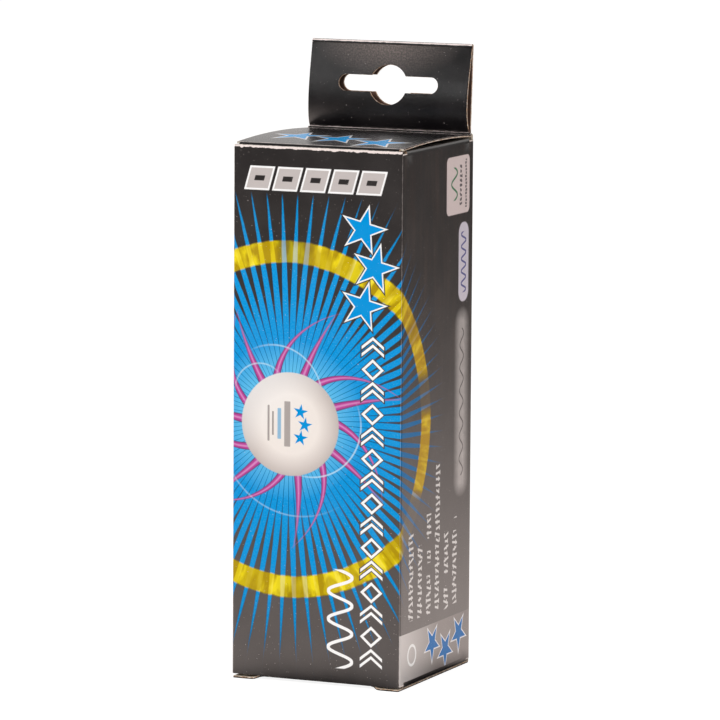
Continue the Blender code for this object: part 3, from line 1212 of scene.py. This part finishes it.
def chevrons(art, colour, middle, half, foot, top, pitch, stroke, ink):
    """Chevrons and diamonds by turns up a column, in the place of a long upright line of lettering."""
    count = (top - art.v) / pitch
    down = count.math("FRACT") * pitch
    even = (count * 0.5).math("FRACT").ramp(0.499, 0.501)
    across = art.u - middle
    rise = abs(across) * 0.8
    chevron = abs(down - rise - stroke * 0.9) - stroke * 0.62
    chevron = chevron.least(abs(down - rise - stroke * 3.6) - stroke * 0.62).most(abs(across) - half)
    up = down - pitch / 2
    diamond = abs(abs(across) + abs(up) * 1.1 - (half - stroke * 0.7)) - stroke * 0.7
    shape = art.choose(even, chevron, diamond)
    inside = art.v.ramp(foot - 0.1, foot + 0.1) * art.v.ramp(top + 0.1, top - 0.1)
    colour = art.mix(inside * shape.below(0.3, 0.12), colour, INK_BLACK)
    return art.mix(inside * shape.below(0.0, 0.12), colour, ink)


def flourish(art, colour, middle, sway, foot, top, pitch, stroke, ink):
    """One plain wavy line up the panel."""
    wave = ((art.v - foot) * (2 * math.pi / pitch)).math("SINE") * sway
    slope = ((art.v - foot) * (2 * math.pi / pitch)).math("COSINE") * (sway * 2 * math.pi / pitch)
    away = abs(art.u - middle - wave) / (slope * slope + 1.0).math("SQRT")
    inside = art.v.ramp(foot - 0.1, foot + 0.1) * art.v.ramp(top + 0.1, top - 0.1)
    return art.mix(away.below(stroke / 2, 0.1) * inside, colour, ink)


def disc(art, colour):
    """A pale shaded disc with three small stars and two plain bars, like a printed ball."""
    radius, angle = art.polar(DISC_CENTRE)
    shade = art.mix(radius.ramp(7.0, 12.2) * 0.8, BALL_WHITE, BALL_SHADE)
    lit = (art.u - DISC_CENTRE[0]) * -0.04 + (art.v - DISC_CENTRE[1]) * 0.05
    shade = art.mix(lit.ramp(0.0, 0.9) * 0.7, shade, INK_WHITE)
    shade = disc_marks(art, shade)
    return art.mix(radius.below(DISC_RADIUS, 0.2), colour, shade)


DISC_STARS = ((2.6, 3.0), (3.7, 0.0), (2.6, -3.1))
DISC_BARS = (
    (-0.7, 0.75, 5.3, srgb(150, 142, 140)),
    (-2.7, 0.45, 3.6, srgb(120, 178, 214)),
    (-4.3, 0.2, 2.8, srgb(120, 112, 110)),
    (-5.4, 0.25, 4.2, srgb(140, 132, 130)),
)


def disc_marks(art, colour):
    """Three small stars and four plain bars beside them."""
    middle_u, middle_v = DISC_CENTRE
    for x, y in DISC_STARS:
        distance = art.star((middle_u + x, middle_v + y), 1.9, 10)
        colour = art.mix(distance.below(0.0), colour, INK_BLUE)
    for x, half_width, half_height, ink in DISC_BARS:
        left, right = middle_u + x - half_width, middle_u + x + half_width
        bar = art.box(left, middle_v - half_height, right, middle_v + half_height, 0.15)
        colour = art.mix(bar.below(0.0) * 0.85, colour, ink)
    return colour


# ---------------------------------------------------------------- board: varnish, wear, raw sides


def worn(art, distance, width, amount=0.5):
    """Where the print has rubbed off near an edge: ragged, and less of it further away."""
    ragged = art.noise(0.7, 5.0, 0.7)
    return (ragged + amount - distance / width).ramp(0.5, 0.56)


def varnish(art, colour, wear=None, specks=0.6, roughness=0.3, bump=0.12):
    """Finishes a printed side: rubbed edges, tiny pale specks, gloss varnish and board texture."""
    fine = art.noise(9.0, 2.0, 0.6)
    speck = art.noise(3.1, 1.0, shift=7.0).ramp(0.76, 0.80) * specks
    colour = art.mix(speck, colour, WORN_WHITE)
    grey = art.noise(0.12, 3.0, shift=3.0).ramp(0.4, 0.7) * 0.012
    colour = art.mix(grey, colour, WORN_WHITE)
    rough = fine * 0.14 + (roughness - 0.07)
    if wear is not None:
        colour = art.mix(wear, colour, WORN_WHITE)
        rough = rough + wear * 0.4
    feed(art.shader.inputs["Base Color"], colour)
    feed(art.shader.inputs["Roughness"], rough)
    strong = ink_strength(art, colour)
    feed(art.shader.inputs["Specular Tint"], art.mix(strong, (1.0, 1.0, 1.0), colour))
    feed(art.shader.inputs["Specular IOR Level"], 0.5 - strong * 0.44)
    art.shader.inputs["IOR"].default_value = VARNISH_IOR
    height = fine * 0.25 + art.noise(0.22, 2.0, shift=11.0) * 2.2 + art.noise(1.6, 2.0) * 0.35
    if wear is not None:
        height = height - wear * 0.5
    relief(art, height, bump)
    return art.material


def ink_strength(art, colour):
    """0 for black, grey and white ink, up to 1 for strong ink, which mirrors less and in its own colour."""
    split = art.tree.nodes.new("ShaderNodeSeparateColor")
    split.mode = "HSV"
    feed(split.inputs[0], colour)
    return Value(split.outputs[1]) * Value(split.outputs[2]).ramp(0.05, 0.4)


def relief(art, height, strength, distance=0.0001):
    node = art.tree.nodes.new("ShaderNodeBump")
    node.inputs["Strength"].default_value = strength
    node.inputs["Distance"].default_value = distance
    feed(node.inputs["Height"], height)
    art.tree.links.new(node.outputs[0], art.shader.inputs["Normal"])


def raw_side(name, pale, base, stain):
    """The uncoated back of the board, with fibres and flecks."""
    art = Artwork(name)
    fibre = art.noise(2.6, 4.0, 0.7, stretch=(1.0, 0.22, 1))
    fleck = art.noise(1.7, 2.0, shift=5.0).ramp(0.68, 0.74)
    cloud = art.noise(0.14, 3.0)
    colour = art.mix(fibre.ramp(0.3, 0.7), base, pale)
    colour = art.mix(cloud.ramp(0.35, 0.7) * 0.35, colour, stain)
    colour = art.mix(fleck * 0.45, colour, stain)
    feed(art.shader.inputs["Base Color"], colour)
    feed(art.shader.inputs["Roughness"], fibre * 0.12 + 0.82)
    relief(art, fibre * 1.5 + art.noise(7.0, 2.0), 0.3)
    return art.material


def cut_edge(name, pale, drag_start=0.40):
    """A die-cut edge: tan core with torn white fibres, dark ink dragged over its printed rim."""
    art = Artwork(name)
    fibre = art.noise(1.8, 5.0, 0.75)
    colour = art.mix((fibre + pale).ramp(0.45, 0.62), CORE_TAN, CORE_WHITE)
    dirt = art.noise(0.9, 3.0, shift=17.0)
    colour = art.mix(dirt.ramp(0.5, 0.68) * 0.6, colour, srgb(112, 88, 74))
    drag = art.noise(1.1, 4.0, 0.7, shift=23.0) + art.depth * -1.6
    colour = art.mix(drag.ramp(drag_start, drag_start + 0.06), colour, srgb(40, 32, 30))
    feed(art.shader.inputs["Base Color"], colour)
    feed(art.shader.inputs["Roughness"], fibre * 0.1 + 0.85)
    relief(art, fibre * 2.0, 0.6)
    return art.material


def crease_distance(art, edges):
    """Distance from the nearest of some upright creases, each one given by its unfolded place."""
    nearest = None
    for edge in edges:
        away = abs(art.u - edge)
        nearest = away if nearest is None else nearest.least(away)
    return nearest


def front_print():
    art = Artwork("front_print")
    colour = sunburst(art)
    colour = spikes(art, colour)
    colour = halo(art, colour)
    colour = disc(art, colour)
    colour = art.mix(art.v.ramp(113.0, 114.6), colour, INK_BLACK)
    colour = title(art, colour)
    colour = chevrons(art, colour, 13.9, 2.75, 4.6, 82.6, 5.2, 0.62, INK_WHITE)
    colour = flourish(art, colour, 6.2, 2.9, 4.4, 27.7, 6.6, 0.75, INK_WHITE)
    colour = stars(art, colour, FRONT_STARS, STAR_SIZE, STAR_BORDER, 4)
    # Rubbed-off print along the top edge, partly also a painted highlight on the rounded top edge.
    top = worn(art, FRONT_HIGH.z - art.v, 1.2, 0.5)
    crease = worn(art, HALF_WIDTH - abs(art.u), 0.6, 0.22) * 0.16
    return varnish(art, colour, top.most(crease))


def right_print():
    art = Artwork("right_print")
    colour = sunburst(art)
    start = SIDE_U
    light = srgb(226, 222, 220)
    # Painted sheen: faint brownish upright streaks on the right wall, stronger towards the top, standing for the
    # varnish's streaky reflection.
    painted_sheen_streak = art.noise(0.8, 4.0, 0.65, stretch=(1.0, 0.07, 1.0), shift=4.0).ramp(0.45, 0.75)
    colour = art.mix(painted_sheen_streak * art.v.ramp(30, 120) * 0.3, colour, srgb(96, 72, 60))
    lines = (
        (-14.8, 15.65, 36.45), (-9.55, 15.75, 34.45), (-4.4, 15.75, 40.35),
        (0.6, 15.85, 50.65), (6.0, 15.35, 33.85), (11.1, 15.85, 36.55),
    )
    for i, (y, foot, top) in enumerate(lines):
        colour = dashes(art, colour, start + y, foot, top, 2.9, 1.45, light, 3.7 * i + 1)
    band = art.box(start + 11.0, 42.0, start + 17.8, 85.0, 3.0)
    colour = art.mix(band.ramp(1.2, -2.2) * (art.noise(0.6, 3.0) * 0.5 + 0.55), colour, INK_SILVER)
    colour = flourish(art, colour, start + 14.4, 1.1, 46.0, 81.0, 5.4, 0.4, srgb(60, 54, 56))
    pill = art.box(start + 12.1, 87.3, start + 18.1, 106.0, 2.6)
    colour = art.mix(pill.below(0.0, 0.3), colour, srgb(222, 214, 226))
    colour = flourish(art, colour, start + 15.1, 1.3, 89.4, 103.8, 2.9, 0.5, srgb(92, 92, 150))
    label = art.box(start + 4.7, 108.2, start + 18.4, 121.8, 1.4)
    colour = art.mix(label.below(0.0, 0.2), colour, srgb(232, 214, 212))
    colour = label_marks(art, colour, start)
    # Painted sheen on the silver band: lighter towards the front corner, darker towards the rear.
    silver = art.mix(art.u.ramp(start - 21, start + 2), srgb(212, 206, 204), srgb(116, 108, 106))
    silver = art.mix(art.u.ramp(start + 6, start + 20), silver, srgb(84, 78, 77))
    colour = art.mix(art.v.ramp(13.15, 13.0), colour, silver)
    dot, _ = art.polar((start - 13.9, 7.55))
    colour = art.mix(abs(dot - 2.3).below(0.32), colour, INK_WHITE)
    lower = ((start - 1.9, 8.4), (start + 6.0, 5.8), (start + 14.0, 8.4))
    colour = stars(art, colour, lower, 4.3, 0.3, -90, srgb(0, 120, 196), srgb(236, 236, 240), rim=0)
    crease = worn(art, crease_distance(art, (SIDE_U + FRONT_Y, SIDE_U + BACK_Y)), 0.6, 0.22) * 0.16
    rim = worn(art, SIDE_HIGH.z - art.v, 0.9, 0.35)
    foot = worn(art, art.v - SIDE_LOW.z, 0.9, 0.3)
    return varnish(art, colour, crease.most(rim).most(foot))


def label_marks(art, colour, start):
    """A plain green wave and two columns of ticks on the small pale label."""
    green = srgb(70, 128, 92)
    grey = srgb(96, 90, 92)
    colour = flourish(art, colour, start + 9.3, 1.7, 111.5, 119.3, 5.2, 0.55, green)
    colour = dashes(art, colour, start + 13.2, 110.2, 119.8, 1.5, 1.1, grey, 4.1)
    return dashes(art, colour, start + 16.3, 109.2, 120.8, 1.0, 0.8, grey, 8.6)


def plain_print(name, wear_of=None, painted_glare=False, **finish):
    """Black varnished print with nothing drawn on it, rubbed along its own creases and edges."""
    art = Artwork(name)
    colour = art.mix(art.noise(0.3, 3.0).ramp(0.3, 0.7), INK_BLACK, srgb(20, 17, 19))
    # Painted glare: a pale patch under the header's top fold.
    if painted_glare:
        colour = painted_glare_patch(art, colour)
    return varnish(art, colour, wear_of(art) if wear_of else None, **finish)


def painted_glare_patch(art, colour):
    """Painted glare: a dulled, grainy pale patch under the middle of the header's top fold, where the bowed ply
    mirrors light from above.
    """
    across = (art.u + 1.0) / 19.0
    down = (art.v - FOLD_START) / 8.5
    reach = (across * across + down * down).math("SQRT")
    grain = art.noise(2.4, 2.0, 0.6).ramp(0.42, 0.66) * 0.65 + 0.35
    return art.mix(grain * reach.ramp(1.0, 0.0) * 0.42, colour, srgb(196, 176, 168))


def header_wear_and_fold_highlight(fold):
    """Rubbed along the top fold, which is at v = fold, and along the crease at the ply's foot. The pale line
    along the top fold is partly cracked ink and partly a painted highlight on the fold's rounding.
    """

    def wear(art):
        # Partly wear, partly a painted highlight along the top fold.
        top = worn(art, abs(art.v - fold), 0.45, 0.46)
        return top.most(worn(art, abs(art.v - PLY_FOOT - PLY_START), 0.6, 0.4))

    return wear


def lid_print():
    art = Artwork("lid_print")
    # Painted sheen: a soft grey patch round the middle star, standing for a reflection in the lid's varnish.
    away, _ = art.polar((2.0, -9.0))
    black = art.mix(away.ramp(16.0, 4.0) * 0.26, INK_BLACK, srgb(120, 116, 124))
    centres = ((-10.9, -6.8), (0.2, -9.2), (11.4, -12.4))
    colour = stars(art, black, centres, 6.2, 0.45, 90, srgb(30, 164, 236))
    front = worn(art, art.v - LID_FRONT.y, 0.8, 0.4)
    sides = worn(art, LID_HALF_WIDTH - abs(art.u), 0.9, 0.3) * 0.45
    valley = worn(art, abs(art.v - LID_REAR.y), 0.4, 0.3)
    return varnish(art, colour, front.most(sides).most(valley), roughness=0.26)


def base_print():
    """The bottom's black print, rubbed round the rim where the carton stands."""
    art = Artwork("base_print")
    colour = art.mix(art.noise(0.3, 3.0).ramp(0.3, 0.7), INK_BLACK, srgb(20, 17, 19))
    rubbed = worn(art, BOTTOM_HIGH.x - abs(art.u), 1.5, 0.22)
    rubbed = rubbed.most(worn(art, BOTTOM_HIGH.x - abs(art.v - BASE_MIDDLE), 1.5, 0.22))
    return varnish(art, colour, rubbed * 0.7)


def left_print():
    """The sunburst carries on from the front, with two columns of small ticks."""
    art = Artwork("left_print")
    colour = sunburst(art)
    for i, (y, top) in enumerate(((4.0, 44.0), (9.0, 38.0), (14.0, 50.0))):
        colour = dashes(art, colour, -SIDE_U - y, 12.0, top, 2.4, 1.45, srgb(176, 170, 168), 5.3 * i + 2)
    return varnish(art, colour, wall_wear(art))


def back_print():
    """Black, with the slanted blocks, three stars and lines of ticks about the middle."""
    art = Artwork("back_print")
    art.u = art.u - BACK_U
    colour = art.mix(art.noise(0.3, 3.0).ramp(0.3, 0.7), INK_BLACK, srgb(20, 17, 19))
    colour = title(art, colour)
    colour = stars(art, colour, ((-9.5, 104.5), (0.5, 104.5), (10.5, 104.5)), 4.4, 0.35, 90)
    for i, (x, top) in enumerate(((-12.0, 84.0), (-7.0, 72.0), (-2.0, 88.0), (3.0, 64.0), (8.0, 78.0))):
        colour = dashes(art, colour, x, 30.0, top, 2.2, 1.45, srgb(176, 170, 168), 2.9 * i + 4)
    panel = art.box(-15.0, 8.0, 15.0, 22.0, 1.0)
    colour = art.mix(panel.below(0.0), colour, INK_SILVER)
    colour = bars(art, colour, (-12.5, 10.0, 12.5, 20.0), 16, 0.8, 0.0, (0.0, 0.0), srgb(40, 38, 40))
    art.u = art.u + BACK_U
    return varnish(art, colour, wall_wear(art))


def wall_wear(art):
    crease = worn(art, crease_distance(art, (-SIDE_U - BACK_Y, -HALF_WIDTH, BACK_U - HALF_WIDTH)), 0.7, 0.32)
    return (crease * 0.5).most(worn(art, art.v - SIDE_LOW.z, 0.9, 0.3))


def ball_plastic():
    """Matt white plastic with a fine grain, a paler weld at the seam and a small printed mark."""
    art = Artwork("ball_plastic")
    split = art.tree.nodes["Separate XYZ"]
    height = Value(split.outputs[2])
    cloud = art.noise(0.1, 3.0)
    colour = art.mix(cloud.ramp(0.3, 0.7), srgb(236, 233, 224), srgb(244, 242, 236))
    weld = abs(height).ramp(0.5, 0.0)
    colour = art.mix(weld * 0.5, colour, srgb(206, 200, 188))
    on_top = height.ramp(10.0, 12.0)
    mark = None
    for x in (-4.2, 0.0, 4.2):
        distance = art.star((x, 2.4), 2.0, 90)
        mark = distance if mark is None else mark.least(distance)
    colour = art.mix(mark.below(0.0) * on_top, colour, srgb(20, 110, 190))
    bar = art.box(-5.4, -1.6, 5.4, -0.6, 0.4).least(art.box(-3.4, -3.6, 3.4, -2.8, 0.35))
    colour = art.mix(bar.below(0.0) * on_top, colour, srgb(60, 60, 66))
    grain = art.noise(11.0, 2.0)
    feed(art.shader.inputs["Base Color"], colour)
    feed(art.shader.inputs["Roughness"], grain * 0.1 + 0.42)
    feed(art.shader.inputs["Subsurface Weight"], 0.08)
    relief(art, grain, 0.15)
    return art.material


RAW = raw_side("raw_side", srgb(228, 222, 210), RAW_GREY, srgb(176, 160, 136))
# Painted shade: the insides of the header's plies are a dark brown raw board, standing for the shade in the
# narrow gap between the plies.
SHADED_HEADER_INSIDE = raw_side("header_inside_painted_shade", srgb(104, 78, 66), srgb(84, 60, 50), srgb(52, 38, 34))
CUT = cut_edge("cut_edge", 0.0)
TORN = cut_edge("torn_edge", 0.14)
# Ink dragged over nearly all of the bottom's cut edge, partly standing as painted shade where the carton's foot
# meets the floor.
INKED_AND_SHADED_EDGE = cut_edge("inked_and_shaded_edge", 0.0, drag_start=0.02)
LID_EDGE = cut_edge("lid_edge", 0.05, drag_start=0.14)
FOLD_START = PLY_FOOT + HEADER_HEIGHT - FOLD_RADIUS - BOARD / 2
FOLD_LINE = FOLD_START + 0.82 * math.pi * (FOLD_RADIUS + BOARD / 2)
# The front ply's print has a painted glare patch under its top fold.
FRONT_HEADER = plain_print("header_print", header_wear_and_fold_highlight(FOLD_LINE), painted_glare=True, roughness=0.3, bump=0.3)
FOLDED_HEADER = plain_print("folded_print", header_wear_and_fold_highlight(FOLD_LINE), roughness=0.3, bump=0.3)
FLAP = plain_print("flap_print")
BALL = ball_plastic()

front_wall((front_print(), RAW, TORN))
side_wall("right_wall", 1, (right_print(), RAW, CUT), "right_side_panel")
side_wall("left_wall", -1, (left_print(), RAW, CUT), "left_side_panel")
back_wall((back_print(), RAW, CUT))
glue_flap((RAW, RAW, CUT))
header_back_ply((FOLDED_HEADER, SHADED_HEADER_INSIDE, CUT))
header_front_ply((FRONT_HEADER, SHADED_HEADER_INSIDE, CUT))
lid_panel((lid_print(), RAW, LID_EDGE))
lid_tuck((FLAP, RAW, CUT))
for level in ("top", "bottom"):
    for side in (1, -1):
        dust_flap(level, side, (FLAP, RAW, CUT))
bottom_panel((base_print(), RAW, INKED_AND_SHADED_EDGE))
bottom_tuck((FLAP, RAW, CUT))
for ball in ("lower_ball", "middle_ball", "upper_ball"):
    for half in ("a", "b"):
        half_ball(ball, half, BALL)


# ---------------------------------------------------------------- studio

AIM = Vector((1.12, 1.29, 73.73))
CAMERA_DISTANCE = 1305.9
CAMERA_AZIMUTH = math.radians(23.8)
CAMERA_ELEVATION = math.radians(7.48)
CAMERA_ROLL = math.radians(0.364)
LENS = 278.25

FLOOR_RADIUS = 8.0
SHADOW_START = 0.026
SHADOW_END = 0.046
MIRROR_NEAR = 0.08
MIRROR_FAR = 1.05
MIRROR_BRIGHT = 1.95
MIRROR_DARK = 0.05
MIRROR_TINT = (1.0, 0.86, 0.80)
BACKDROP_BRIGHT = 0.75
ROOM_BRIGHT = 0.08
AMBIENT = 0.42
KEY_POWER = 22.0
FILL_POWER = 7.0
GLARE_PLACE = (-0.62, -1.36, 0.52)
GLARE_SIZE = (0.22, 0.12)
GLARE_POWER = 0.55


def camera():
    data = bpy.data.cameras.new("camera")
    data.lens = LENS
    data.sensor_width = 36
    data.clip_start = 0.01
    data.clip_end = 20
    eye = bpy.data.objects.new("camera", data)
    bpy.context.scene.collection.objects.link(eye)
    level = math.cos(CAMERA_ELEVATION)
    out = Vector(
        (level * math.sin(CAMERA_AZIMUTH), -level * math.cos(CAMERA_AZIMUTH), math.sin(CAMERA_ELEVATION))
    )
    turn = out.to_track_quat("Z", "Y").to_matrix() @ Matrix.Rotation(CAMERA_ROLL, 3, "Z")
    eye.matrix_world = Matrix.Translation((AIM + out * CAMERA_DISTANCE) * MM) @ turn.to_4x4()
    bpy.context.scene.camera = eye


def area_light(name, position, target, size, power, mirrored=False):
    """A soft light that either falls on the colours or shows in the varnish, like a flagged lamp."""
    data = bpy.data.lights.new(name, "AREA")
    data.shape = "RECTANGLE"
    data.size, data.size_y = size
    data.energy = power
    light = bpy.data.objects.new(name, data)
    bpy.context.scene.collection.objects.link(light)
    aim = Vector(position) - Vector(target)
    light.matrix_world = Matrix.Translation(position) @ aim.to_track_quat("Z", "Y").to_matrix().to_4x4()
    light.visible_glossy = mirrored
    light.visible_diffuse = not mirrored


def ray_kinds(tree):
    """1 for rays from the camera, and 1 for rays that the varnish mirrors."""
    path = tree.nodes.new("ShaderNodeLightPath")
    return Value(path.outputs["Is Camera Ray"]), Value(path.outputs["Is Glossy Ray"])


def emission(tree, colour, strength):
    node = tree.nodes.new("ShaderNodeEmission")
    feed(node.inputs["Color"], colour)
    feed(node.inputs["Strength"], strength)
    return node.outputs[0]


def blended(tree, share, first, second):
    """The first shader where share is 0, the second where it is 1."""
    node = tree.nodes.new("ShaderNodeMixShader")
    feed(node.inputs[0], share)
    tree.links.new(first, node.inputs[1])
    tree.links.new(second, node.inputs[2])
    return node.outputs[0]


def floor_material():
    """Pale floor: a soft contact shadow for the camera; what the varnish mirrors is a glow that fades with
    distance, with a painted shadow round the carton and painted shade behind it.
    """
    material = bpy.data.materials.new("floor")
    material.use_nodes = True
    tree = material.node_tree
    plain_floor = tree.nodes["Principled BSDF"]
    plain_floor.inputs["Base Color"].default_value = (0.82, 0.80, 0.78, 1)
    plain_floor.inputs["Roughness"].default_value = 0.9
    camera_ray, glossy_ray = ray_kinds(tree)
    place = tree.nodes.new("ShaderNodeNewGeometry")
    away = tree.nodes.new("ShaderNodeVectorMath")
    away.operation = "LENGTH"
    tree.links.new(place.outputs["Position"], away.inputs[0])
    distance = Value(away.outputs["Value"])
    fade = distance.ramp(MIRROR_FAR, MIRROR_NEAR) ** 1.3 * MIRROR_BRIGHT + MIRROR_DARK
    split = tree.nodes.new("ShaderNodeSeparateXYZ")
    tree.links.new(place.outputs["Position"], split.inputs[0])
    behind = Value(split.outputs[1])
    # Painted shade behind the carton, and below a painted shadow round it, in the glow that the varnish mirrors.
    painted_shade_behind = 1.0 - behind.ramp(0.0, 0.05) * 0.2 - behind.ramp(0.1, 0.85) * 0.42
    shade = distance.ramp(SHADOW_START, SHADOW_END) * painted_shade_behind
    mirrored = emission(tree, MIRROR_TINT, fade * shade)
    seen = blended(tree, 0.62, plain_floor.outputs[0], emission(tree, (1, 1, 1), 1.44))
    shader = blended(tree, camera_ray, plain_floor.outputs[0], seen)
    shader = blended(tree, glossy_ray, shader, mirrored)
    clear = tree.nodes.new("ShaderNodeBsdfTransparent")
    shader = blended(tree, Value(place.outputs["Backfacing"]), shader, clear.outputs[0])
    tree.links.new(shader, tree.nodes["Material Output"].inputs[0])
    return material


def surroundings():
    """White to the camera; a bright backdrop behind the carton and a dim room in front, in mirrors."""
    world = bpy.data.worlds.new("world")
    bpy.context.scene.world = world
    world.use_nodes = True
    tree = world.node_tree
    camera_ray, glossy_ray = ray_kinds(tree)
    place = tree.nodes.new("ShaderNodeTexCoord")
    split = tree.nodes.new("ShaderNodeSeparateXYZ")
    tree.links.new(place.outputs["Generated"], split.inputs[0])
    backdrop = Value(split.outputs[1]).ramp(-0.1, 0.7) * BACKDROP_BRIGHT + ROOM_BRIGHT
    mirrored = camera_ray * 1.06 + (1.0 - camera_ray) * (
        glossy_ray * backdrop + (1.0 - glossy_ray) * AMBIENT
    )
    background = tree.nodes["Background"]
    background.inputs["Color"].default_value = (1, 0.98, 0.96, 1)
    tint = mixed(tree, camera_ray, (1, 0.965, 0.94), (1, 1, 1))
    feed(background.inputs["Color"], tint)
    feed(background.inputs["Strength"], mirrored)


def studio():
    bm = bmesh.new()
    bmesh.ops.create_circle(bm, cap_ends=True, segments=64, radius=FLOOR_RADIUS)
    mesh = bpy.data.meshes.new("floor")
    bm.to_mesh(mesh)
    bm.free()
    floor = bpy.data.objects.new("floor", mesh)
    bpy.context.scene.collection.objects.link(floor)
    mesh.materials.append(floor_material())
    surroundings()
    area_light("key", (-0.72, -1.5, 1.0), (0, 0, 0.07), (0.9, 0.8), KEY_POWER)
    area_light("fill", (1.5, -0.1, 0.9), (0, 0, 0.07), (0.9, 0.9), FILL_POWER)
    area_light("glare", GLARE_PLACE, (0, 0, 0.14), GLARE_SIZE, GLARE_POWER, mirrored=True)
    bpy.context.scene.view_settings.view_transform = "Standard"


camera()
studio()
